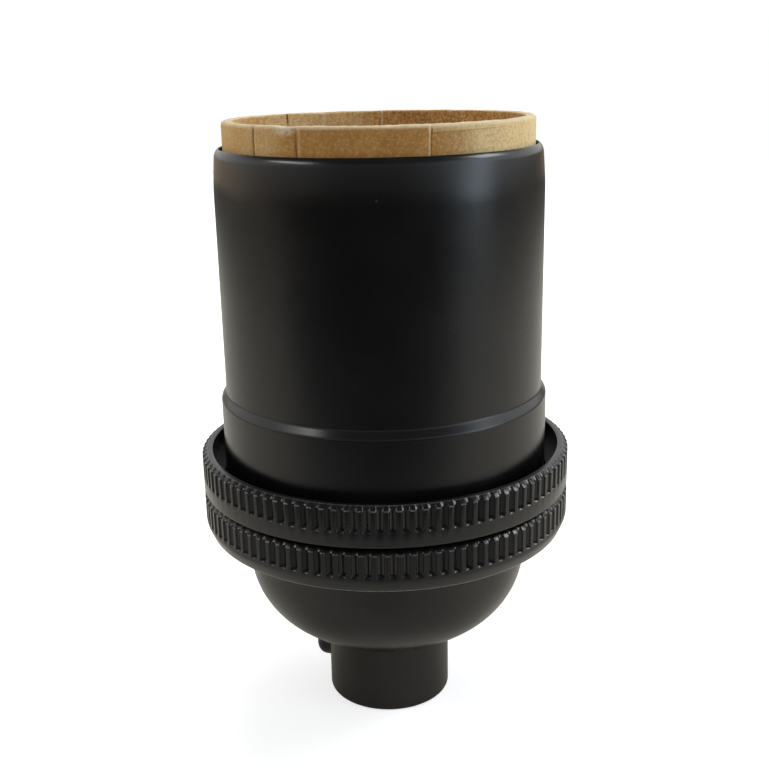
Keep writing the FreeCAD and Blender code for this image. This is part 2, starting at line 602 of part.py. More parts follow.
NODES = {
    "hub": hub,
    "cap": cap,
    "cap_lining": cap_lining,
    "cap_ring": cap_ring,
    "set_screw": set_screw,
    "shell_ring": shell_ring,
    "shell": shell,
    "liner": liner,
    "insulator": insulator,
    "screw_shell": screw_shell,
    "shell_rivets": shell_rivets,
    "centre_contact": centre_contact,
    "contact_rivet": contact_rivet,
    "live_terminal": live_terminal,
    "neutral_terminal": neutral_terminal,
    "live_terminal_screw": lambda: terminal_screw(-1),
    "neutral_terminal_screw": lambda: terminal_screw(1),
}

os.makedirs("parts", exist_ok=True)
for name, make in NODES.items():
    make().exportStep("parts/" + name + ".step")
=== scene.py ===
"""Dresses a keyless lamp holder: painted metal, wound board, porcelain and brass."""
import json
import math

import bmesh
import bpy
from mathutils import Matrix, Vector, noise


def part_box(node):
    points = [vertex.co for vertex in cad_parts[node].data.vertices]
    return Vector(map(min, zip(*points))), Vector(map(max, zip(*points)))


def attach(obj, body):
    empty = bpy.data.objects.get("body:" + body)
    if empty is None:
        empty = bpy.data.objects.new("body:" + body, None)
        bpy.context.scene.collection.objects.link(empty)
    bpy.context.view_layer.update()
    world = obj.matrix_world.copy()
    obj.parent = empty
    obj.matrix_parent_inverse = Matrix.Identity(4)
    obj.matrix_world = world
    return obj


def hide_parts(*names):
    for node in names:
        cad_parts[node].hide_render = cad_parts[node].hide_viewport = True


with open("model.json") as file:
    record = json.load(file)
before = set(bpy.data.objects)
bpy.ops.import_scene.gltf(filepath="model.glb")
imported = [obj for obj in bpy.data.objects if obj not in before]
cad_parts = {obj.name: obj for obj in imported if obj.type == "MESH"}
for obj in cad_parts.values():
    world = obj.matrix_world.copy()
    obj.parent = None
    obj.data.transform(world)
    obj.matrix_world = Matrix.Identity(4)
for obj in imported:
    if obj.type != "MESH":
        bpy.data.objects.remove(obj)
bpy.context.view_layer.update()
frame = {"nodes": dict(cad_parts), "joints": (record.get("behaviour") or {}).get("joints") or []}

bl_info = {
    "name": "Keyless Lamp Holder",
    "version": (1, 0, 0),
    "blender": (4, 5, 0),
    "location": "View3D > Sidebar > Lamp Holder",
    "description": "Models and finishes the pieces of a keyless metal lamp holder",
    "category": "Add Mesh",
}

MM = 0.001
AXIS = Vector((0, 0, 1))
FULL_TURN = 2 * math.pi
WELD = 1e-7  # points this close become one
RING_RUN_OUT = 0.3 * MM  # fading end of the rings' thread

# Tables; the board's angles are in radians from the front
COLUMNS = (0, 0.16, 0.2, 0.245, 0.5, 0.755, 0.8, 0.84, 1)  # shares of a knurl's pitch
SCORES = ((-0.804, 1.0), (-0.475, 0.7), (1.13, 0.2))  # angle and depth of scored lines
INNER_LINES = ((3.112, 0.014, 0.55), (-2.72, 0.03, 0.5))  # angle, width, share of pale lines
SEAM = 0.288  # the board's outer end
CRACK = -2.40  # the crack inside the rim
TEAR = -0.56  # the rim's torn spot

# Painted shade on the floor, seen only in reflections and bounced light: place from the dim front
# to the middle, and the floor's colour there
FLOOR_SHADE = (
    (0.0, (0.13, 0.13, 0.13, 1)), (0.15, (0.21, 0.21, 0.21, 1)), (0.37, (0.38, 0.38, 0.37, 1)),
    (0.5, (0.54, 0.53, 0.50, 1)), (0.63, (0.74, 0.71, 0.65, 1)), (0.87, (0.92, 0.88, 0.77, 1)),
)

# Bearing from the front in degrees, share of the room's strength there, and its blue tint:
# the walls up to the horizon and the panels above it
WALLS = (
    (-180, 0.13, 0.7), (-146, 0.17, 0.6), (-110, 0.27, 0.6), (-74, 0.12, 0.6), (-35, 0.033, 0.7),
    (0, 0.014, 1.0), (28, 0.027, 1.0), (46, 0.12, 1.2), (57, 0.55, 1.35), (67, 1.0, 1.4),
    (76, 0.55, 1.35), (85, 0.15, 1.1), (110, 0.10, 0.8), (131, 0.06, 0.6), (155, 0.11, 0.6),
    (180, 0.12, 0.7),
)
PANELS = (
    (-180, 0.30, 1.0), (-130, 0.32, 1.0), (-90, 0.32, 1.0), (-50, 0.20, 1.0), (-25, 0.10, 1.0),
    (15, 0.10, 1.0), (45, 0.22, 1.1), (60, 0.50, 1.2), (74, 1.00, 1.2), (88, 0.45, 1.1),
    (120, 0.40, 1.0), (180, 0.30, 1.0),
)
ROOM_STRENGTH = 3.0

LIGHTS = (      # name, place, size, power and colour
    ("right_panel", (0.26, 0.01, 0.27), (0.13, 0.10), 0.33, (0.96, 0.98, 1.0)),
    ("left_panel", (-0.25, -0.10, 0.25), (0.16, 0.045), 0.19, (1.0, 0.99, 0.97)),
    ("top_panel", (0.0, 0.17, 0.42), (0.24, 0.24), 0.52, (1.0, 1.0, 1.0)),
)


# Properties

def length(name, millimetres, words):
    """A length that a user can set, in metres."""
    return bpy.props.FloatProperty(
        name=name, description=words, default=millimetres * MM, min=0,
        subtype="DISTANCE", unit="LENGTH", precision=5)


def number(name, default, words):
    """A plain number between 0 and 1."""
    return bpy.props.FloatProperty(name=name, description=words, default=default, min=0, max=1,
                                   subtype="FACTOR")


def count(name, default, words):
    """A whole number of copies or steps."""
    return bpy.props.IntProperty(name=name, description=words, default=default, min=3)


def colour(name, default, words):
    """A surface colour."""
    return bpy.props.FloatVectorProperty(name=name, description=words, default=default,
                                         size=3, min=0, max=1, subtype="COLOR")


class HolderSizes(bpy.types.PropertyGroup):
    """Sizes of the turned, drawn and wound pieces"""

    turn_steps: count("Steps Round", 240, "Flats round a turned or drawn piece")
    hub_steps: count("Hub Steps", 128, "Flats round the hub")
    hole_sides: count("Hole Sides", 54, "Flats round the set screw's hole")
    screw_steps: count("Screw Steps", 96, "Flats round the set screw")
    lamp_steps: count("Lamp Steps", 120, "Flats round the screw shell")
    board_steps: count("Board Steps", 960, "Flats round the liner")
    shell_wall: length("Shell Wall", 0.5, "Thickness of the shell's sheet")
    skirt_radius: length("Skirt Radius", 17.43, "Outside of the shell's skirt")
    shoulder_step: length("Shoulder Step", 0.53, "How much narrower the shell is above its skirt")
    skirt_height: length("Skirt Height", 12.51, "Skirt above the flange")
    shoulder: length("Shoulder Height", 0.8, "Height of the shoulder's slope")
    neck_in: length("Neck-in", 0.25, "How far the shell is drawn in towards its rim")
    neck_height: length("Neck-in Height", 3.8, "Length over which the shell is drawn in")
    rim_slope: length("Rim Slope", 0.55, "Drop from the rim's lip to its corner")
    rim_rounding: length("Rim Rounding", 1.1, "Rounding of the shell's rim")
    rim_gap: length("Rim Gap", 0.1, "Gap between the rim and the liner")
    flange_thickness: length("Flange Thickness", 0.49, "Thickness of the shell's flange")
    liner_wall: length("Liner Wall", 1.1, "Thickness of the wound liner")
    cap_wall: length("Cap Wall", 0.6, "Thickness of the cap's sheet")
    flange_width: length("Flange Width", 2.85, "Cap's flange outside its straight side")
    knuckle: length("Knuckle Radius", 9.0, "Rounding of the cap's bottom next to its side")
    crown_excess: length("Crown Excess", 3.75, "Crown's radius over the cap's")
    hub_edge: length("Hub Edge", 0.25, "Broken edge at the hub's foot")
    bore_radius: length("Bore Radius", 4.45, "Inside of the stem's thread")
    bore_chamfer: length("Bore Chamfer", 0.4, "Chamfer at each end of the bore")
    neck_wall: length("Neck Wall", 1.35, "Wall of the hub's neck through the cap")
    neck_spread: length("Neck Spread", 0.7, "How far the hub's neck is spread in the cap")
    stem_pitch: length("Stem Pitch", 0.94, "Pitch of the stem's thread")
    stem_depth: length("Stem Thread Depth", 0.42, "Depth of the stem's thread")
    ring_edge: length("Ring Edge", 0.2, "Rounded edge at the foot of a ring")
    foot_bevel: length("Foot Bevel", 1.2, "Height of the lower ring's bevel")
    foot_inset: length("Foot Inset", 0.5, "Inset of the lower ring's foot")
    ring_wall: length("Ring Wall", 1.4, "Wall of the lower ring round its thread")
    ring_pitch: length("Ring Pitch", 1.0, "Pitch of the thread between the rings")
    ring_depth: length("Ring Thread Depth", 0.22, "Depth of the thread between the rings")
    ring_fit: length("Ring Fit", 0.05, "Clearance of the thread between the rings")
    ledge: length("Ledge", 1.0, "Thickness of the lower ring's ledge")
    loose_fit: length("Loose Fit", 0.3, "Gap between pieces that drop into each other")
    lip_chamfer: length("Lip Chamfer", 0.55, "Inset of the chamfer on top of the knurling")
    lip_height: length("Lip Height", 0.4, "Height of the chamfer on top of the knurling")
    mouth_gap: length("Mouth Gap", 1.32, "Gap between the upper ring's mouth and the skirt")
    mouth_depth: length("Mouth Depth", 3.2, "Depth of the upper ring's mouth")
    spigot_height: length("Spigot Height", 2.6, "Spigot below the upper ring's band")
    knurl_count: count("Knurls", 100, "Grooves round each ring")
    knurl_crest: length("Knurl Crest", 0.42, "Width left between grooves")
    knurl_floor: length("Knurl Floor", 0.42, "Width of a groove's floor")
    knurl_depth: length("Knurl Depth", 0.34, "Depth of a groove")
    knurl_end: length("Knurl End", 0.55, "Length of a groove's rounded lower end")
    cap_knurl_rise: length("Lower Knurl Rise", 1.5, "Lower grooves above their ring's foot")
    band_height: length("Band Height", 1.45, "Plain band under the upper knurling")
    socket_radius: length("Socket Radius", 0.95, "Hexagon socket of the set screw, to its corners")
    socket_depth: length("Socket Depth", 1.6, "Depth of the set screw's socket")
    screw_radius: length("Screw Radius", 1.9, "Outside of the set screw")
    screw_fit: length("Screw Fit", 0.05, "Gap round the set screw in its hole")
    screw_point: length("Screw Point", 0.6, "Length of the set screw's cone point")
    screw_rounding: length("Screw Rounding", 1.1, "Rounded outer end of the set screw")
    lamp_pitch: length("Lamp Pitch", 3.629, "Pitch of the lamp's thread")
    lamp_minor: length("Lamp Minor Radius", 12.45, "Inside of the screw shell's thread")
    lamp_depth: length("Lamp Thread Depth", 0.85, "Depth of the screw shell's thread")
    brass_wall: length("Brass Wall", 0.35, "Thickness of the screw shell")
    floor_hole: length("Floor Hole", 9.0, "Radius of the hole in the screw shell's floor")


class HolderFinish(bpy.types.PropertyGroup):
    """Colours and gloss of the finishes"""

    paint: colour("Paint", (0.0032, 0.0030, 0.0032), "Black paint of the shell and rings")
    hub_paint: colour("Hub Paint", (0.0062, 0.0046, 0.0042), "Browner black paint of the hub")
    paint_roughness: number("Paint Roughness", 0.24, "Gloss of the black paint")
    dust: colour("Dust", (0.5, 0.5, 0.48), "Specks of dust on the paint")
    # Also the colour of the painted highlights on the rings' edges and crest tops
    worn_and_lit: colour("Worn Edge", (0.42, 0.41, 0.38), "Metal where the paint is rubbed off an edge")
    board: colour("Board", (0.60, 0.30, 0.075), "Brown face of the liner")
    # Also used for the painted light on the liner's lit sides
    board_pale: colour("Pale Board", (0.88, 0.68, 0.36), "Worn face of the liner")
    board_dark: colour("Dark Board", (0.40, 0.17, 0.035), "Inside of the liner")
    fibre_pale: colour("Cut Fibres", (0.84, 0.71, 0.48), "Cut edge of the board")
    # Painted shade in the scored creases
    score_shade: colour("Scored Line", (0.16, 0.07, 0.015), "Bottom of a scored line")
    # Painted shadow beside the board's outer end
    seam_shadow: colour("Seam Shade", (0.16, 0.08, 0.02), "Shade along the board's outer end")
    speck_dark: colour("Dark Specks", (0.16, 0.07, 0.02), "Dark specks inside the liner")
    crack: colour("Crack", (0.07, 0.03, 0.01), "Crack inside the liner's rim")
    torn: colour("Torn Board", (0.86, 0.77, 0.60), "Torn spot of the liner's rim")
    porcelain: colour("Porcelain", (0.80, 0.77, 0.70), "Glazed insulator")
    glaze_speck: colour("Glaze Specks", (0.25, 0.2, 0.14), "Dark specks in the glaze")
    brass: colour("Brass", (0.78, 0.56, 0.25), "Rolled brass")
    tin: colour("Tinned Brass", (0.66, 0.65, 0.62), "Tinned terminal")
    fibre: colour("Fibre", (0.10, 0.085, 0.07), "Pressed fibre lining")
    screw: colour("Screw", (0.004, 0.004, 0.0045), "Blackened steel")


class HolderStage(bpy.types.PropertyGroup):
    """Camera, lights and floor"""

    distance: length("Camera Distance", 112.56, "From the holder's axis to the camera, along Y")
    side: length("Camera Side", 0.09, "From the holder's axis to the camera, along X")
    height: length("Camera Height", 70.07, "Camera above the floor")
    pitch: bpy.props.FloatProperty(name="Pitch", description="Camera's tilt below the horizon",
                                   default=0.2929, subtype="ANGLE", unit="ROTATION")
    roll: bpy.props.FloatProperty(name="Roll", description="Camera's turn about its own axis",
                                  default=-0.021, subtype="ANGLE", unit="ROTATION")
    lens: bpy.props.FloatProperty(name="Lens", description="Focal length", default=50.67,
                                  subtype="DISTANCE_CAMERA", unit="CAMERA")
    floor_reach: length("Floor Reach", 600, "Half the floor's width")


# Shader graphs

class Wire:
    """A value in a shader graph that can be used in sums."""

    def __init__(self, graph, socket):
        self.graph = graph
        self.socket = socket

    def sum(self, operation, *values):
        """One Math node."""
        return self.graph.node("ShaderNodeMath", {"operation": operation}, dict(enumerate(values)))

    def __add__(self, other):
        return self.sum("ADD", self, other)

    def __radd__(self, other):
        return self.sum("ADD", other, self)

    def __sub__(self, other):
        return self.sum("SUBTRACT", self, other)

    def __rsub__(self, other):
        return self.sum("SUBTRACT", other, self)

    def __mul__(self, other):
        return self.sum("MULTIPLY", self, other)

    def __rmul__(self, other):
        return self.sum("MULTIPLY", other, self)

    def __truediv__(self, other):
        return self.sum("DIVIDE", self, other)

    def __pow__(self, other):
        return self.sum("POWER", self, other)

    def __lt__(self, other):
        return self.sum("LESS_THAN", self, other)

    def __gt__(self, other):
        return self.sum("GREATER_THAN", self, other)

    def step(self, low, high):
        """Smooth step from 0 at low to 1 at high."""
        return self.graph.node("ShaderNodeMapRange", {"interpolation_type": "SMOOTHSTEP"},
                               {"Value": self, "From Min": low, "From Max": high})


class Graph:
    """The node tree of a material or a world."""

    def __init__(self, owner):
        owner.use_nodes = True
        self.tree = owner.node_tree
        self.tree.nodes.clear()

    def node(self, kind, settings=None, sockets=None, output=0):
        """Adds a node: its settings first, then the values or links of its sockets."""
        added = self.tree.nodes.new(kind)
        for key, value in (settings or {}).items():
            if key == "stops":
                self.set_stops(added.color_ramp.elements, value)
            else:
                setattr(added, key, value)
        for key, value in (sockets or {}).items():
            if isinstance(value, Wire):
                self.tree.links.new(value.socket, added.inputs[key])
            else:
                added.inputs[key].default_value = value
        return Wire(self, added.outputs[output]) if added.outputs else None

    def set_stops(self, elements, stops):
        """Gives a colour ramp its stops."""
        while len(elements) < len(stops):
            elements.new(1.0)
        for element, (place, tone) in zip(elements, stops):
            element.position = place
            element.color = tone

    def blend(self, factor, first, second):
        """Mixes two colours."""
        return self.node("ShaderNodeMix", {"data_type": "RGBA"},
                         {0: factor, 6: solid(first), 7: solid(second)}, output=2)

    def place(self):
        """A point of the piece, in metres."""
        return self.node("ShaderNodeTexCoord", output=3)

    def split(self, vector):
        """The three numbers of a vector."""
        first = self.node("ShaderNodeSeparateXYZ", sockets={0: vector})
        outputs = first.socket.node.outputs
        return [Wire(self, output) for output in outputs]

    def join(self, x, y, z):
        """A vector from three numbers."""
        return self.node("ShaderNodeCombineXYZ", sockets={0: x, 1: y, 2: z})

    def grain(self, vector, scale, detail=3.0, roughness=0.55):
        """Soft noise from 0 to 1; scale is in waves a metre."""
        return self.node("ShaderNodeTexNoise", sockets={
            "Vector": vector, "Scale": scale, "Detail": detail, "Roughness": roughness})

    def bump(self, height, strength, distance):
        """Surface relief from a height."""
        return self.node("ShaderNodeBump", sockets={
            "Height": height, "Strength": strength, "Distance": distance})

    def surface(self, **sockets):
        """Ends the graph in a Principled shader; underscores stand for spaces."""
        names = {key.replace("_", " "): solid(value) for key, value in sockets.items()}
        shader = self.node("ShaderNodeBsdfPrincipled", sockets=names)
        self.node("ShaderNodeOutputMaterial", sockets={"Surface": shader})


def solid(value):
    """A colour with its alpha; anything else as it is."""
    if isinstance(value, (Wire, float, int)):
        return value
    return (*value, 1.0)[:4]


def new_graph(name):
    """A material and its empty graph."""
    material = bpy.data.materials.new(name)
    return material, Graph(material)


def axis_terms(graph):
    """Place, distance from the axis, angle from the front and height."""
    place = graph.place()
    x, y, z = graph.split(place)
    radius = (x * x + y * y) ** 0.5
    angle = x.sum("ARCTAN2", x, y * -1)
    return place, radius, angle, z


# Finishes

def black_paint(name, finish, tone, roughness, edges=()):
    """Sprayed black paint, a little uneven, with dust; along its edges the paint is rubbed through,
    and the same marks paint highlights there.
    """
    material, graph = new_graph(name)
    place, radius, _, height = axis_terms(graph)
    cloud = graph.grain(place, 140, 4.0)
    peel = graph.grain(place, 1600, 2.0)
    grit = graph.grain(place, 5200, 2.0)
    specks = graph.node("ShaderNodeTexVoronoi", {"feature": "F1"},
                        {"Vector": place, "Scale": 420.0})
    rare = graph.grain(place, 210, 1.0) > 0.66
    dust = (specks < 0.028) * rare
    body = graph.blend(cloud.step(0.3, 0.75), tone, [1.7 * part for part in tone])
    for edge_radius, level, width, share in edges:
        out, up = radius - edge_radius, height - level
        # Each mark is partly rubbed paint and partly a painted highlight along the edge
        rubbed = 1 - ((out * out + up * up) ** 0.5 / width).step(0.35, 1)
        body = graph.blend(rubbed * (0.35 + grit.step(0.35, 0.65)) * share, body, finish.worn_and_lit)
    graph.surface(
        Base_Color=graph.blend(dust * 0.5, body, finish.dust),
        Roughness=roughness + (cloud - 0.5) * 0.16 + (grit - 0.5) * 0.08,
        Specular_IOR_Level=0.5,
        Normal=graph.bump(peel * 0.7 + grit * 0.3, 0.10, 0.05 * MM))
    return material


def near(value, place, width):
    """1 at a place, falling to 0 at a distance from it."""
    away = value.sum("ABSOLUTE", value - place)
    return 1 - (away / width).step(0, 1)


def wound_board(name, finish, top, outer):
    """Brown kraft board: fibres along its turns, a pale cut rim, scored lines and a torn ply; its
    sides are paler partly from painted light, and painted shade and highlights mark its creases,
    seam and ply step.
    """
    material, graph = new_graph(name)
    place, radius, angle, height = axis_terms(graph)
    wrapped = graph.join(angle * outer, height, radius)
    fibres = graph.grain(wrapped, 900, 5.0, 0.65)
    streaks = graph.grain(graph.join(angle * outer * 0.25, height * 1.6, radius), 700, 4.0, 0.6)
    patches = graph.grain(place, 170, 3.0)
    blots = graph.grain(place, 420, 4.0, 0.6)
    speckle = graph.grain(place, 3600, 3.0, 0.7)
    wavy = angle + (blots - 0.5) * 0.03
    drift = angle + (streaks - 0.5) * 0.012
    inside = 1 - radius.step(outer - 0.95 * MM, outer - 0.55 * MM)
    ragged = top - (0.24 * MM + (1 - inside) * 0.24 * MM) + (blots - 0.5) * 0.6 * MM
    rim = height.step(ragged, top - 0.08 * MM)
    # Paler at the right: partly wear of the board, partly painted light on its lit side
    worn_and_lit = angle.step(0.30, 0.62) * (0.7 + 0.4 * (patches * 0.6 + speckle * 0.5).step(0.4, 0.7))
    # Paler at the left: partly wear of the board, partly painted light on its lit side
    left = (angle * -1).step(0.5, 0.75) * (0.5 + 0.4 * patches.step(0.3, 0.6))
    # Weights the painted side light and wear above most on the front half
    front = 1 - angle.sum("ABSOLUTE", angle).step(1.6, 2.6)
    tan, pale, brown = finish.board, finish.board_pale, finish.board_dark
    face = graph.blend((fibres * 0.5 + blots * 0.5).step(0.36, 0.64), brown, tan)
    face = graph.blend(0.35 + streaks * 0.3, face, tan)
    face = graph.blend((worn_and_lit + left * 0.55) * (0.35 + front * 0.65), face, pale)
    ply = wavy.step(SEAM, SEAM + 0.02) * (1 - wavy.step(0.7, 0.95))
    ply_foot = top - 0.78 * MM + (wavy - SEAM) * 0.35 * MM
    upper = ply * height.step(ply_foot, ply_foot + 0.08 * MM)
    face = graph.blend(upper * 0.5, face, pale)
    # Painted shade along the foot of the ply's step
    face = graph.blend(near(height, ply_foot, 0.07 * MM) * ply * 0.55, face, brown)
    face = graph.blend(near(wavy, SEAM + 0.2, 0.19) * (1 - upper) * 0.35, face, brown)
    for score, depth in SCORES:
        # Painted shade in each scored crease, with a painted highlight along its edge
        dark = near(drift, score, 0.010) * depth * (0.35 + 0.45 * blots.step(0.35, 0.6))
        face = graph.blend(dark, face, finish.score_shade)
        face = graph.blend(near(drift, score + 0.020, 0.012) * 0.4, face, pale)
    # Painted shadow just past the board's outer end
    face = graph.blend(near(drift, SEAM + 0.012, 0.009) * 0.8, face, finish.seam_shadow)
    face = graph.blend(near(drift, SEAM - 0.003, 0.008) * 0.9, face, finish.fibre_pale)
    face = graph.blend(speckle.step(0.42, 0.80) * 0.45, face, pale)
    face = graph.blend((1 - speckle).step(0.46, 0.80) * 0.45, face, brown)
    inner = graph.blend((fibres * 0.4 + blots * 0.6).step(0.35, 0.65), brown, tan)
    lit_side = (angle * -1).step(0.2, 2.6) * angle.step(-3.14, -3.09)
    inner = graph.blend(lit_side * 0.5 * patches.step(0.3, 0.6), inner, pale)
    inner = graph.blend(speckle.step(0.40, 0.70) * 0.55, inner, pale)
    inner = graph.blend((1 - speckle).step(0.45, 0.75) * 0.4, inner, finish.speck_dark)
    for line, width, share in INNER_LINES:
        inner = graph.blend(near(drift, line, width) * share, inner, finish.fibre_pale)
    crack = near(drift, CRACK, 0.016) * height.step(top - 1.6 * MM, top - 0.9 * MM)
    inner = graph.blend(crack * (0.5 + blots * 0.8), inner, finish.crack)
    walls = graph.blend(inside, face, inner)
    cut = graph.blend(speckle.step(0.3, 0.6), pale, finish.fibre_pale)
    shade = graph.blend(rim * (0.6 + speckle * 0.6), walls, cut)
    tear = near(wavy, TEAR, 0.12) * height.step(top - 1.1 * MM, top - 0.4 * MM)
    tear = tear * speckle.step(0.38, 0.5)
    graph.surface(
        Base_Color=graph.blend(tear * 0.8, shade, finish.torn),
        Roughness=0.82 + (speckle - 0.5) * 0.2,
        Specular_IOR_Level=0.3,
        Normal=graph.bump(fibres * 0.3 + speckle * 0.5 + blots * 0.4, 0.6, 0.14 * MM))
    return material


def glazed_porcelain(name, tone, speck):
    """Off-white glaze with faint specks."""
    material, graph = new_graph(name)
    place = graph.place()
    cloud = graph.grain(place, 90, 3.0)
    specks = graph.grain(place, 2600, 2.0)
    shade = graph.blend(cloud.step(0.3, 0.7), tone, [0.9 * part for part in tone])
    graph.surface(
        Base_Color=graph.blend(specks.step(0.7, 0.78) * 0.5, shade, speck),
        Roughness=0.16 + cloud * 0.12,
        Normal=graph.bump(cloud, 0.15, 0.2 * MM))
    return material


def rolled_metal(name, tone, roughness):
    """Rolled brass with fine lines round it and a little tarnish."""
    material, graph = new_graph(name)
    place, radius, angle, height = axis_terms(graph)
    lines = graph.grain(graph.join(angle * 4 * MM, height, radius), 2600, 3.0, 0.6)
    tarnish = graph.grain(place, 260, 4.0)
    shade = graph.blend(tarnish.step(0.42, 0.78) * 0.6, tone, [part * part * 0.7 for part in tone])
    graph.surface(
        Base_Color=shade,
        Metallic=1.0,
        Roughness=roughness + tarnish * 0.22 + (lines - 0.5) * 0.16,
        Normal=graph.bump(lines, 0.12, 0.03 * MM))
    return material


def pressed_fibre(name, tone):
    """Matt vulcanised fibre."""
    material, graph = new_graph(name)
    place = graph.place()
    flecks = graph.grain(place, 1900, 4.0, 0.7)
    graph.surface(
        Base_Color=graph.blend(flecks.step(0.3, 0.7), tone, [1.8 * part for part in tone]),
        Roughness=0.8 + (flecks - 0.5) * 0.2,
        Normal=graph.bump(flecks, 0.3, 0.08 * MM))
    return material


def worn_and_glint_edges(sizes):
    """Radius, height, width and strength of the rubbed edges of the two rings; these marks also
    paint highlights: a light line along the foot, glints on the crest tops and a thin light line at
    the mouth.
    """
    outer = reach("shell_ring")
    (foot, lower), (_, upper) = levels("cap_ring"), levels("shell_ring")
    return (
        (outer - sizes.foot_inset, foot, 0.17 * MM, 0.85),
        (outer, lower - sizes.lip_height, 0.11 * MM, 0.30),
        (outer, upper - sizes.lip_height, 0.11 * MM, 0.32),
        (outer - sizes.lip_chamfer, upper, 0.12 * MM, 0.12),
    )


def finishes():
    """The materials by name, made once."""
    finish = bpy.context.scene.holder_finish
    made = bpy.data.materials
    if "shell_paint" not in made:
        gloss = finish.paint_roughness
        black_paint("shell_paint", finish, finish.paint, gloss)
        black_paint("ring_paint", finish, finish.paint, gloss,
                    worn_and_glint_edges(bpy.context.scene.holder_sizes))
        black_paint("hub_paint", finish, finish.hub_paint, gloss + 0.1)
        black_paint("screw_finish", finish, finish.screw, 0.3)
        wound_board("kraft_board", finish, levels("liner")[1], reach("liner"))
        glazed_porcelain("glazed_porcelain", finish.porcelain, finish.glaze_speck)
        rolled_metal("rolled_brass", finish.brass, 0.22)
        rolled_metal("tinned_brass", finish.tin, 0.28)
        pressed_fibre("pressed_fibre", finish.fibre)
    return made


# Mesh work

def half_section(corners, arc_steps=4):
    """Closed outline in the XZ plane; each corner is a radius, a height and its rounding."""
    mesh = bmesh.new()
    verts = [mesh.verts.new((radius, 0, height)) for radius, height, _ in corners]
    mesh.faces.new(verts)
    for index, (_, _, rounding) in enumerate(corners):
        if rounding:
            here, back = Vector(corners[index][:2]), Vector(corners[index - 1][:2])
            ahead = Vector(corners[(index + 1) % len(corners)][:2])
            half = (back - here).angle(ahead - here) / 2
            bmesh.ops.bevel(mesh, geom=[verts[index]], offset=rounding / math.tan(half),
                            offset_type="OFFSET", affect="VERTICES", segments=arc_steps,
                            profile=0.5, material=-1)
    bmesh.ops.delete(mesh, geom=list(mesh.faces), context="FACES_ONLY")
    return mesh


def slice_at(mesh, heights):
    """Adds points where level planes cross the mesh."""
    for height in heights:
        bmesh.ops.bisect_plane(mesh, geom=everything(mesh), dist=WELD,
                               plane_co=(0, 0, height), plane_no=AXIS)


def everything(mesh):
    """All points, edges and faces of a mesh."""
    return list(mesh.verts) + list(mesh.edges) + list(mesh.faces)


def spin(mesh, angle, steps, **settings):
    """Spins all of a mesh round the axis."""
    bmesh.ops.spin(mesh, geom=everything(mesh), cent=(0, 0, 0), axis=AXIS, dvec=(0, 0, 0),
                   angle=angle, steps=steps, **settings)


def turned(corners, steps, heights=(), arc_steps=4):
    """A turned piece from its half section."""
    mesh = half_section(corners, arc_steps)
    slice_at(mesh, heights)
    spin(mesh, FULL_TURN, steps, use_merge=True)
    return mesh


def spread(low, high, steps):
    """Evenly spaced values from low to high."""
    return [low + (high - low) * index / steps for index in range(steps + 1)]


def radius_of(vert):
    """Distance of a point from the axis."""
    return math.hypot(vert.co.x, vert.co.y)


def set_radius(vert, radius):
    """Moves a point in or out."""
    scale = radius / radius_of(vert)
    vert.co.x *= scale
    vert.co.y *= scale


def fade_in(value, length_of_fade):
    """0 below zero, 1 past the fade, smooth between."""
    share = max(0.0, min(1.0, value / length_of_fade))
    return share * share * (3 - 2 * share)


def close(mesh):
    """Welds the points of a mesh that meet and turns its faces outwards."""
    bmesh.ops.remove_doubles(mesh, verts=list(mesh.verts), dist=WELD)
    bmesh.ops.recalc_face_normals(mesh, faces=list(mesh.faces))


def in_scene(name, mesh):
    """An object in the scene, made from a bmesh."""
    data = bpy.data.meshes.new(name)
    mesh.to_mesh(data)
    item = bpy.data.objects.new(name, data)
    bpy.context.scene.collection.objects.link(item)
    return item


def finish_piece(mesh, name, body, finish, node, sharp=32):
    """Turns a bmesh into a piece that rides on a body and stands for a node."""
    close(mesh)
    piece = in_scene(name, mesh)
    mesh.free()
    for polygon in piece.data.polygons:
        polygon.use_smooth = True
    piece.data.set_sharp_from_angle(angle=math.radians(sharp))
    piece.data.materials.append(finishes()[finish])
    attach(piece, body)
    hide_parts(node)
    return piece


def groove_depth(sizes, across, above):
    """Depth at a distance from a groove's middle and above its lower end."""
    pitch = FULL_TURN * reach("shell_ring") / sizes.knurl_count
    half = (pitch - sizes.knurl_crest) / 2
    floor = sizes.knurl_floor / 2 / half
    side = abs(across) / half
    end = max(0.0, 1 - above / sizes.knurl_end)
    return sizes.knurl_depth * (1 - fade_in((side ** 4 + end ** 4) ** 0.25 - floor, 1 - floor))


def cut_knurls(mesh, sizes, outer, low):
    """Spaces the patch's columns and presses one groove in, open above and closed below."""
    pitch = FULL_TURN / sizes.knurl_count
    for vert in mesh.verts:
        column = round(math.atan2(vert.co.y, vert.co.x) / pitch * (len(COLUMNS) - 1))
        radius, angle = radius_of(vert), pitch * COLUMNS[column]
        if radius > outer - sizes.knurl_depth and vert.co.z > low:
            across = (COLUMNS[column] - 0.5) * pitch * outer
            radius = min(radius, outer - groove_depth(sizes, across, vert.co.z - low))
        vert.co.x = radius * math.cos(angle)
        vert.co.y = radius * math.sin(angle)


def knurled(corners, sizes, outer, low, threads):
    """A ring whose pitch-wide patch is copied all the way round."""
    mesh = half_section(corners, 2)
    slice_at(mesh, [low + sizes.knurl_end * share for share in (0.001, 0.08, 0.2, 0.4, 0.7, 1)])
    slice_at(mesh, threads)
    pitch = FULL_TURN / sizes.knurl_count
    spin(mesh, pitch, len(COLUMNS) - 1)
    cut_knurls(mesh, sizes, outer, low)
    copies = sizes.knurl_count - 1
    spin(mesh, pitch * copies, copies, use_duplicate=True)
    bmesh.ops.remove_doubles(mesh, verts=list(mesh.verts), dist=WELD * 10)
    return mesh


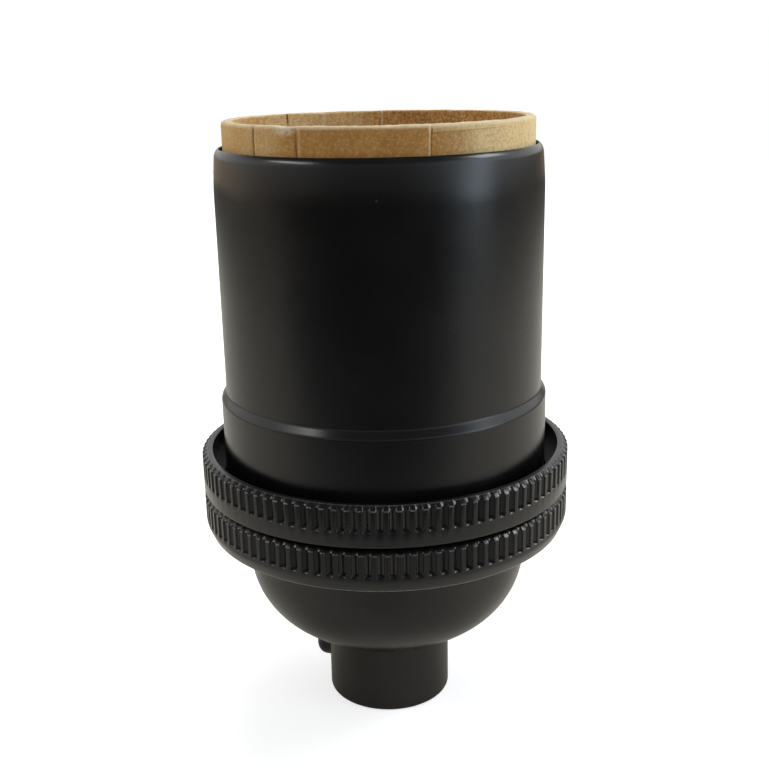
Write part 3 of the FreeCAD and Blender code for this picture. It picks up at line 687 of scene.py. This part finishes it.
def cut_thread(mesh, root, outwards, low, high, pitch, depth, run_out):
    """Presses a fine helical thread into a straight wall."""
    for vert in mesh.verts:
        if abs(radius_of(vert) - root) < 0.01 * MM and low < vert.co.z < high:
            turn = math.atan2(vert.co.y, vert.co.x) / FULL_TURN
            share = (vert.co.z / pitch - turn) % 1.0
            ends = min(vert.co.z - low, high - vert.co.z)
            press = depth * (1 - abs(2 * share - 1)) * fade_in(ends, run_out)
            set_radius(vert, root + outwards * press)


def rod(radius, depth, sides):
    """A closed rod along the axis, with its middle at the origin."""
    mesh = bmesh.new()
    bmesh.ops.create_cone(mesh, cap_ends=True, segments=sides, radius1=radius, radius2=radius,
                          depth=depth)
    return mesh


def cut_away(mesh, cutter):
    """Takes a closed cutter out of a closed mesh."""
    close(mesh)
    whole, tool = in_scene("scratch", mesh), in_scene("scratch", cutter)
    cut = whole.modifiers.new("cut", "BOOLEAN")
    cut.operation, cut.solver, cut.object = "DIFFERENCE", "EXACT", tool
    graph = bpy.context.evaluated_depsgraph_get()
    result = bpy.data.meshes.new_from_object(whole.evaluated_get(graph))
    mesh.clear()
    mesh.from_mesh(result)
    cutter.free()
    for item in (whole, tool):
        bpy.data.objects.remove(item)


def levels(node):
    """Lowest and highest level of a node."""
    low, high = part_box(node)
    return low[2], high[2]


def reach(node):
    """Largest radius of a round node."""
    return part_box(node)[1][0]


# Pieces

def shell_mesh(sizes):
    """Drawn shell with its flange, skirt, shoulder and turned-in rim."""
    low, top = levels("shell")
    wall = sizes.shell_wall
    radius = sizes.skirt_radius - sizes.shoulder_step
    lip = reach("liner") + sizes.rim_gap
    flange_top = low + sizes.flange_thickness
    skirt_top = flange_top + sizes.skirt_height
    shoulder_top = skirt_top + sizes.shoulder
    corner, neck = top - sizes.rim_slope, top - sizes.neck_height
    return turned([
        (reach("shell"), low, 0),
        (reach("shell"), flange_top, 0.1 * MM),
        (sizes.skirt_radius, flange_top, 0.25 * MM),
        (sizes.skirt_radius, skirt_top, 0.5 * MM),
        (radius, shoulder_top, 0.5 * MM),
        (radius, neck, 20 * MM),
        (radius - sizes.neck_in, corner, sizes.rim_rounding),
        (lip, top, 0.1 * MM),
        (lip, top - wall, 0.1 * MM),
        (radius - sizes.neck_in - wall, corner - wall, 0),
        (radius - wall, neck, 0),
        (radius - wall, shoulder_top, 0),
        (sizes.skirt_radius - wall, skirt_top, 0),
        (sizes.skirt_radius - wall, low, 0),
    ], sizes.turn_steps, arc_steps=6)


def cap_ring_mesh(sizes):
    """Lower knurled ring with its ledge."""
    foot, top = levels("cap_ring")
    outer = reach("shell_ring")
    bore = outer - sizes.ring_wall
    inner = reach("cap") - sizes.flange_width + sizes.loose_fit
    seat = foot + sizes.ledge
    mesh = knurled([
        (inner, foot, 0),
        (outer - sizes.foot_inset, foot, sizes.ring_edge),
        (outer, foot + sizes.foot_bevel, 0.6 * MM),
        (outer, top - sizes.lip_height, 0.08 * MM),
        (outer - sizes.lip_chamfer, top, 0.05 * MM),
        (bore + sizes.loose_fit, top, 0),
        (bore, top - sizes.loose_fit, 0),
        (bore, seat, 0),
        (inner, seat, 0),
    ], sizes, outer, foot + sizes.cap_knurl_rise, spread(top - 2.2 * MM, top - 0.5 * MM, 9))
    cut_thread(mesh, bore, 1, seat, top - sizes.loose_fit, sizes.ring_pitch, sizes.ring_depth,
               RING_RUN_OUT)
    return mesh


def shell_ring_mesh(sizes):
    """Upper knurled ring with its plain band, threaded spigot and wide mouth."""
    low, top = levels("shell_ring")
    outer = reach("shell_ring")
    bore = sizes.skirt_radius + sizes.loose_fit
    spigot = outer - sizes.ring_wall - sizes.ring_fit
    mouth = sizes.skirt_radius + sizes.mouth_gap
    band = low + sizes.spigot_height
    mesh = knurled([
        (bore, low, 0),
        (spigot - sizes.loose_fit, low, 0),
        (spigot, low + sizes.loose_fit, 0),
        (spigot, band, 0),
        (outer, band, sizes.ring_edge),
        (outer, top - sizes.lip_height, 0.08 * MM),
        (outer - sizes.lip_chamfer, top, 0.05 * MM),
        (mouth, top, 0.14 * MM),
        (mouth, top - sizes.mouth_depth, 0),
        (bore, top - sizes.mouth_depth, 0),
    ], sizes, outer, band + sizes.band_height, spread(low + 0.4 * MM, band - 0.1 * MM, 12))
    cut_thread(mesh, spigot, -1, low + sizes.loose_fit, band, sizes.ring_pitch,
               sizes.ring_depth, RING_RUN_OUT)
    return mesh


def cap_mesh(sizes):
    """Drawn cap: a rounded bottom of two arcs, a straight side and a flange."""
    floor, top = levels("cap")
    side, wall = reach("cap") - sizes.flange_width, sizes.cap_wall
    crown, knuckle = side + sizes.crown_excess, sizes.knuckle
    hole = sizes.bore_radius + sizes.neck_wall + sizes.ring_fit
    crown_level = floor + math.sqrt(crown ** 2 - reach("hub") ** 2)
    drop = math.sqrt((crown - knuckle) ** 2 - (side - knuckle) ** 2)
    meet = math.asin((side - knuckle) / (crown - knuckle))

    def arcs(inset, level):
        """Points of the bottom's two arcs, from the side down to the floor."""
        low = math.acos((crown_level - level) / (crown - inset))
        bend = [(side - knuckle + (knuckle - inset) * math.sin(turn),
                 crown_level - drop - (knuckle - inset) * math.cos(turn), 0)
                for turn in spread(math.pi / 2, meet, 14)]
        flat = [((crown - inset) * math.sin(turn),
                 crown_level - (crown - inset) * math.cos(turn), 0)
                for turn in spread(meet, low, 8)]
        return bend + flat[1:]

    flange = [
        (side - wall, top, 0.85 * MM),
        (reach("cap"), top, 0),
        (reach("cap"), top - wall, 0),
        (side, top - wall, 0.25 * MM),
    ]
    floor_hole = [(hole, floor, 0), (hole, floor + wall, 0)]
    return turned(flange + arcs(0, floor) + floor_hole + arcs(wall, floor + wall)[::-1],
                  sizes.turn_steps)


def hub_mesh(sizes):
    """Turned hub with a threaded bore, a set screw's hole and its neck spread in the cap."""
    low, top = levels("hub")
    radius = reach("hub")
    shoulder = levels("cap")[0]
    bore, chamfer = sizes.bore_radius, sizes.bore_chamfer
    neck = bore + sizes.neck_wall
    spread_neck = neck + sizes.neck_spread
    corners = [
        (bore + chamfer, low, 0),
        (radius, low, sizes.hub_edge),
        (radius, shoulder, 0.08 * MM),
        (neck, shoulder, 0),
        (neck, shoulder + sizes.cap_wall, 0),
        (spread_neck, shoulder + sizes.cap_wall, 0),
        (spread_neck, top, 0.25 * MM),
        (bore + chamfer, top, 0),
        (bore, top - chamfer, 0),
        (bore, low + chamfer, 0),
    ]
    mesh = turned(corners, sizes.hub_steps, spread(low + chamfer * 1.3, top - chamfer * 1.3, 60))
    cut_thread(mesh, bore, 1, low + chamfer, top - chamfer, sizes.stem_pitch, sizes.stem_depth,
               sizes.stem_pitch)
    place, span = screw_place(sizes)
    hole = rod(sizes.screw_radius + sizes.screw_fit, span + 3 * MM, sizes.hole_sides)
    hole.transform(place)
    cut_away(mesh, hole)
    return mesh


def screw_shell_mesh(sizes):
    """Rolled brass shell: a round tube whose middle circles the axis once a pitch."""
    low, top = levels("screw_shell")
    throw = sizes.lamp_depth / 2
    mean = sizes.lamp_minor + throw
    wall = sizes.brass_wall
    corners = [
        (sizes.floor_hole, low, 0),
        (mean + wall, low, 0.5 * MM),
        (mean + wall, top, wall / 2.2),
        (mean, top, wall / 2.2),
        (mean, low + wall, 0.3 * MM),
        (sizes.floor_hole, low + wall, 0),
    ]
    start, turns = low + 2 * MM, 5
    rows = spread(start, start + turns * sizes.lamp_pitch, turns * 14)
    mesh = turned(corners, sizes.lamp_steps, rows)
    for vert in mesh.verts:
        radius = radius_of(vert)
        if radius > mean - WELD:
            climb = (vert.co.z - start) / sizes.lamp_pitch
            fade = fade_in(climb, 1.0) * fade_in(turns - climb, 1.0)
            angle = math.atan2(vert.co.y, vert.co.x) - FULL_TURN * climb
            set_radius(vert, radius + throw * fade * math.cos(angle))
    return mesh


def screw_place(sizes):
    """Where the set screw lies in the hub, and its length."""
    low, high = (Vector(corner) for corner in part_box("set_screw"))
    joint = next(item for item in frame["joints"] if item["name"] == "set_screw_travel")
    outward = Vector(joint["axis"]).normalized()
    span = (high.x - low.x - 2 * sizes.screw_radius * abs(outward.y)) / abs(outward.x)
    turn = AXIS.rotation_difference(outward).to_matrix().to_4x4()
    return Matrix.Translation((low + high) / 2) @ turn, span


def set_screw_mesh(sizes):
    """Screw with a cone point, a rounded end and a hexagon socket, laid in its hole."""
    place, span = screw_place(sizes)
    radius = sizes.screw_radius
    corners = [
        (0, -span / 2, 0),
        (radius - sizes.screw_point, -span / 2, 0),
        (radius, -span / 2 + sizes.screw_point, 0),
        (radius, span / 2, sizes.screw_rounding),
        (0, span / 2, 0),
    ]
    mesh = turned(corners, sizes.screw_steps, arc_steps=10)
    socket = rod(sizes.socket_radius, 2 * sizes.socket_depth, 6)
    bmesh.ops.translate(socket, verts=socket.verts, vec=(0, 0, span / 2))
    cut_away(mesh, socket)
    mesh.transform(place)
    return mesh


def liner_mesh(sizes):
    """Wound board tube: flattened between its scored lines, with a ragged rim."""
    low, top = levels("liner")
    outer = reach("liner")
    inner = outer - sizes.liner_wall
    rows = spread(low + 1 * MM, top - 4.0 * MM, 4) + spread(top - 3.4 * MM, top - 0.4 * MM, 14)
    mesh = turned([
        (inner, low, 0),
        (outer, low, 0),
        (outer, top, 0.38 * MM),
        (inner, top, 0.25 * MM),
    ], sizes.board_steps, rows, arc_steps=6)
    for vert in mesh.verts:
        shape_board(vert, top, outer, inner)
    return mesh


def shape_board(vert, top, outer, inner):
    """Moves one point of the liner: scored lines, the seam's step and the ragged rim."""
    radius = radius_of(vert)
    angle = math.atan2(vert.co.x, -vert.co.y)
    grain = noise.noise(vert.co * 1400)
    wave = noise.noise(Vector((vert.co.x * 260, vert.co.y * 260, vert.co.z * 60)))
    near_top = fade_in(vert.co.z - (top - 0.9 * MM), 0.9 * MM)
    middle = (outer + inner) / 2
    pinch = 0.26 if angle < 0 else 0.18
    shift = 0.04 * MM * grain * near_top
    shift -= pinch * MM * abs(math.sin(angle)) ** 4 * fade_in(vert.co.z - (top - 8 * MM), 5 * MM)
    if radius > middle:
        shift -= 0.05 * MM * (0.5 + 0.5 * wave)
        for place, depth in SCORES:
            away = abs(angle - place) * outer
            shift -= 0.20 * MM * depth * max(0.0, 1 - away / (0.14 * MM)) ** 0.7
        past = (angle - SEAM) * outer
        if 0 < past < 9 * MM:
            ply = 1 if vert.co.z < top - 0.78 * MM + past * 0.02 else 0.6
            shift -= 0.20 * MM * ply * (1 - fade_in(past - 3 * MM, 6 * MM))
    set_radius(vert, radius + shift)
    if near_top:
        torn = noise.noise(vert.co * 500) * 0.05 + noise.noise(vert.co * 1800) * 0.04
        bite = max(0.0, 1 - abs(angle + 0.55) / 0.10) * (0.10 + 0.10 * noise.noise(vert.co * 900))
        back = 0.12 * fade_in(abs(angle) - 1.4, 1.5)
        vert.co.z += MM * near_top * (min(0.0, torn - 0.03) - bite - back)


# Stage

def make_floor(stage):
    """A pale floor that keeps the holder's shadow; for all but camera rays its colour is painted
    shade: its front fades into the dim room and it dims far away.
    """
    mesh = bmesh.new()
    bmesh.ops.create_grid(mesh, x_segments=1, y_segments=1, size=stage.floor_reach)
    bmesh.ops.translate(mesh, verts=mesh.verts, vec=(0, 0, -0.02 * MM))
    floor = in_scene("floor", mesh)
    mesh.free()
    material, graph = new_graph("floor_paper")
    place = graph.place()
    x, y, _ = graph.split(place)
    grain = graph.grain(place, 300, 3.0)
    # Painted shade for all but camera rays: darker towards the front and far from the holder
    depth = (y + x.sum("ABSOLUTE", x) * 0.4 + x * 0.15 + 130 * MM) / (150 * MM)
    away = (x * x + y * y) ** 0.5
    tone = graph.node("ShaderNodeValToRGB", {"stops": FLOOR_SHADE}, {"Fac": depth})
    dim = graph.blend(away.step(200 * MM, 480 * MM) * 0.7, tone, (0, 0, 0))
    shaded_paper = graph.node("ShaderNodeBsdfDiffuse", sockets={"Color": dim})
    pale = graph.blend(grain, (0.90, 0.90, 0.90), (0.92, 0.92, 0.92))
    seen = graph.node("ShaderNodeBsdfDiffuse", sockets={"Color": pale})
    far = away.step(20 * MM, 130 * MM)
    white = graph.blend(far, (0.6, 0.6, 0.6), (1, 1, 1))
    glow = graph.node("ShaderNodeEmission", sockets={"Color": white, "Strength": 1.0})
    lit = graph.node("ShaderNodeAddShader", sockets={0: seen, 1: glow})
    ray = graph.node("ShaderNodeLightPath")
    shader = graph.node("ShaderNodeMixShader", sockets={0: ray, 1: shaded_paper, 2: lit})
    graph.node("ShaderNodeOutputMaterial", sockets={"Surface": shader})
    floor.data.materials.append(material)


def make_world(scene):
    """A white background for the camera; the room around is dim, with a window at the right."""
    world = bpy.data.worlds.new("studio")
    scene.world = world
    graph = Graph(world)
    x, y, z = graph.split(graph.node("ShaderNodeTexCoord"))
    bearing = x.sum("ARCTAN2", x, y * -1) / FULL_TURN + 0.5
    walls, panels = (room_ramp(graph, bearing, stops) for stops in (WALLS, PANELS))
    around = graph.blend(z.step(-0.02, 0.12), walls, panels)
    ceiling = graph.blend(z.step(0.35, 0.7), around, (0.05, 0.05, 0.05))
    room = graph.node("ShaderNodeBackground", sockets={"Color": ceiling, "Strength": ROOM_STRENGTH})
    backdrop = graph.node("ShaderNodeBackground", sockets={"Color": (1, 1, 1, 1), "Strength": 1.0})
    ray = graph.node("ShaderNodeLightPath")
    shader = graph.node("ShaderNodeMixShader", sockets={0: ray, 1: room, 2: backdrop})
    graph.node("ShaderNodeOutputWorld", sockets={"Surface": shader})


def room_ramp(graph, bearing, stops):
    """A ramp once round the room."""
    ramp = [(degrees / 360 + 0.5, (level, level * (0.5 + tint / 2), level * tint, 1))
            for degrees, level, tint in stops]
    return graph.node("ShaderNodeValToRGB", {"stops": ramp}, {"Fac": bearing})


def make_lights():
    """Soft lights high at the right, high at the left and above the back."""
    target = Vector((0, 0, 50 * MM))
    for name, place, size, power, tone in LIGHTS:
        lamp = bpy.data.lights.new(name, "AREA")
        lamp.shape = "RECTANGLE"
        lamp.size, lamp.size_y = size
        lamp.energy = power
        lamp.color = tone
        item = bpy.data.objects.new(name, lamp)
        item.location = place
        item.rotation_euler = (target - Vector(place)).to_track_quat("-Z", "Y").to_euler()
        item.visible_camera = False
        bpy.context.scene.collection.objects.link(item)


def make_camera(scene, stage):
    """Camera in front of the holder, looking a little down."""
    camera = bpy.data.cameras.new("camera")
    camera.lens = stage.lens
    camera.sensor_width = 36.0
    camera.clip_start = 5 * MM
    camera.clip_end = 10.0
    item = bpy.data.objects.new("camera", camera)
    turn = Matrix.Rotation(math.pi / 2 - stage.pitch, 4, "X") @ Matrix.Rotation(stage.roll, 4, "Z")
    item.matrix_world = Matrix.Translation((stage.side, -stage.distance, stage.height)) @ turn
    scene.collection.objects.link(item)
    scene.camera = item


# Operators and panel

class HOLDER_OT_shell(bpy.types.Operator):
    """Model the painted shell"""
    bl_idname = "holder.shell"
    bl_label = "Shell"

    def execute(self, context):
        finish_piece(shell_mesh(context.scene.holder_sizes), "painted_shell", "shell_body",
                     "shell_paint", "shell")
        return {"FINISHED"}


class HOLDER_OT_liner(bpy.types.Operator):
    """Model the wound board liner"""
    bl_idname = "holder.liner"
    bl_label = "Liner"

    def execute(self, context):
        finish_piece(liner_mesh(context.scene.holder_sizes), "board_liner", "shell_body",
                     "kraft_board", "liner", 50)
        return {"FINISHED"}


class HOLDER_OT_rings(bpy.types.Operator):
    """Model the two knurled rings"""
    bl_idname = "holder.rings"
    bl_label = "Knurled Rings"

    def execute(self, context):
        sizes = context.scene.holder_sizes
        finish_piece(shell_ring_mesh(sizes), "upper_ring", "ring_body",
                     "ring_paint", "shell_ring")
        finish_piece(cap_ring_mesh(sizes), "lower_ring", "base",
                     "ring_paint", "cap_ring")
        return {"FINISHED"}


class HOLDER_OT_cap(bpy.types.Operator):
    """Model the drawn cap"""
    bl_idname = "holder.cap"
    bl_label = "Cap"

    def execute(self, context):
        finish_piece(cap_mesh(context.scene.holder_sizes), "drawn_cap", "base",
                     "shell_paint", "cap")
        return {"FINISHED"}


class HOLDER_OT_hub(bpy.types.Operator):
    """Model the hub and its set screw"""
    bl_idname = "holder.hub"
    bl_label = "Hub and Set Screw"

    def execute(self, context):
        sizes = context.scene.holder_sizes
        finish_piece(hub_mesh(sizes), "turned_hub", "base", "hub_paint", "hub")
        finish_piece(set_screw_mesh(sizes), "socket_screw", "set_screw_body",
                     "screw_finish", "set_screw")
        return {"FINISHED"}


class HOLDER_OT_screw_shell(bpy.types.Operator):
    """Model the brass shell with the lamp's thread"""
    bl_idname = "holder.screw_shell"
    bl_label = "Screw Shell"

    def execute(self, context):
        finish_piece(screw_shell_mesh(context.scene.holder_sizes), "lamp_thread", "base",
                     "rolled_brass", "screw_shell")
        return {"FINISHED"}


class HOLDER_OT_inside(bpy.types.Operator):
    """Finish the insulator, contacts, terminals, rivets and lining"""
    bl_idname = "holder.inside"
    bl_label = "Inside Pieces"

    def execute(self, context):
        finish_of = {
            "insulator": "glazed_porcelain", "cap_lining": "pressed_fibre",
            "shell_rivets": "rolled_brass", "centre_contact": "rolled_brass",
            "contact_rivet": "rolled_brass", "live_terminal": "rolled_brass",
            "live_terminal_screw": "rolled_brass", "neutral_terminal": "tinned_brass",
            "neutral_terminal_screw": "tinned_brass",
        }
        for node, finish in finish_of.items():
            for slot in frame["nodes"][node].material_slots:
                slot.material = finishes()[finish]
        return {"FINISHED"}


class HOLDER_OT_stage(bpy.types.Operator):
    """Make the floor, the lights, the world and the camera"""
    bl_idname = "holder.stage"
    bl_label = "Stage"

    def execute(self, context):
        stage = context.scene.holder_stage
        make_floor(stage)
        make_world(context.scene)
        make_lights()
        make_camera(context.scene, stage)
        context.scene.view_settings.view_transform = "Standard"
        return {"FINISHED"}


class HOLDER_PT_panel(bpy.types.Panel):
    """Lists the pieces of the lamp holder"""
    bl_label = "Lamp Holder"
    bl_idname = "HOLDER_PT_panel"
    bl_space_type = "VIEW_3D"
    bl_region_type = "UI"
    bl_category = "Lamp Holder"

    def draw(self, context):
        scene = context.scene
        for group in (scene.holder_sizes, scene.holder_finish, scene.holder_stage):
            box = self.layout.box()
            for name in group.__annotations__:
                box.prop(group, name)
        for operator in OPERATORS:
            self.layout.operator(operator.bl_idname)


OPERATORS = (HOLDER_OT_shell, HOLDER_OT_liner, HOLDER_OT_rings, HOLDER_OT_cap, HOLDER_OT_hub,
             HOLDER_OT_screw_shell, HOLDER_OT_inside, HOLDER_OT_stage)
CLASSES = (HolderSizes, HolderFinish, HolderStage) + OPERATORS + (HOLDER_PT_panel,)


def register():
    """Adds the classes and the scene's properties."""
    for item in CLASSES:
        bpy.utils.register_class(item)
    bpy.types.Scene.holder_sizes = bpy.props.PointerProperty(type=HolderSizes)
    bpy.types.Scene.holder_finish = bpy.props.PointerProperty(type=HolderFinish)
    bpy.types.Scene.holder_stage = bpy.props.PointerProperty(type=HolderStage)


def unregister():
    """Removes what register added."""
    del bpy.types.Scene.holder_stage
    del bpy.types.Scene.holder_finish
    del bpy.types.Scene.holder_sizes
    for item in reversed(CLASSES):
        bpy.utils.unregister_class(item)


def main():
    """Makes every piece and the stage."""
    register()
    bpy.ops.holder.shell()
    bpy.ops.holder.liner()
    bpy.ops.holder.rings()
    bpy.ops.holder.cap()
    bpy.ops.holder.hub()
    bpy.ops.holder.screw_shell()
    bpy.ops.holder.inside()
    bpy.ops.holder.stage()


if __name__ == "__main__":
    main()
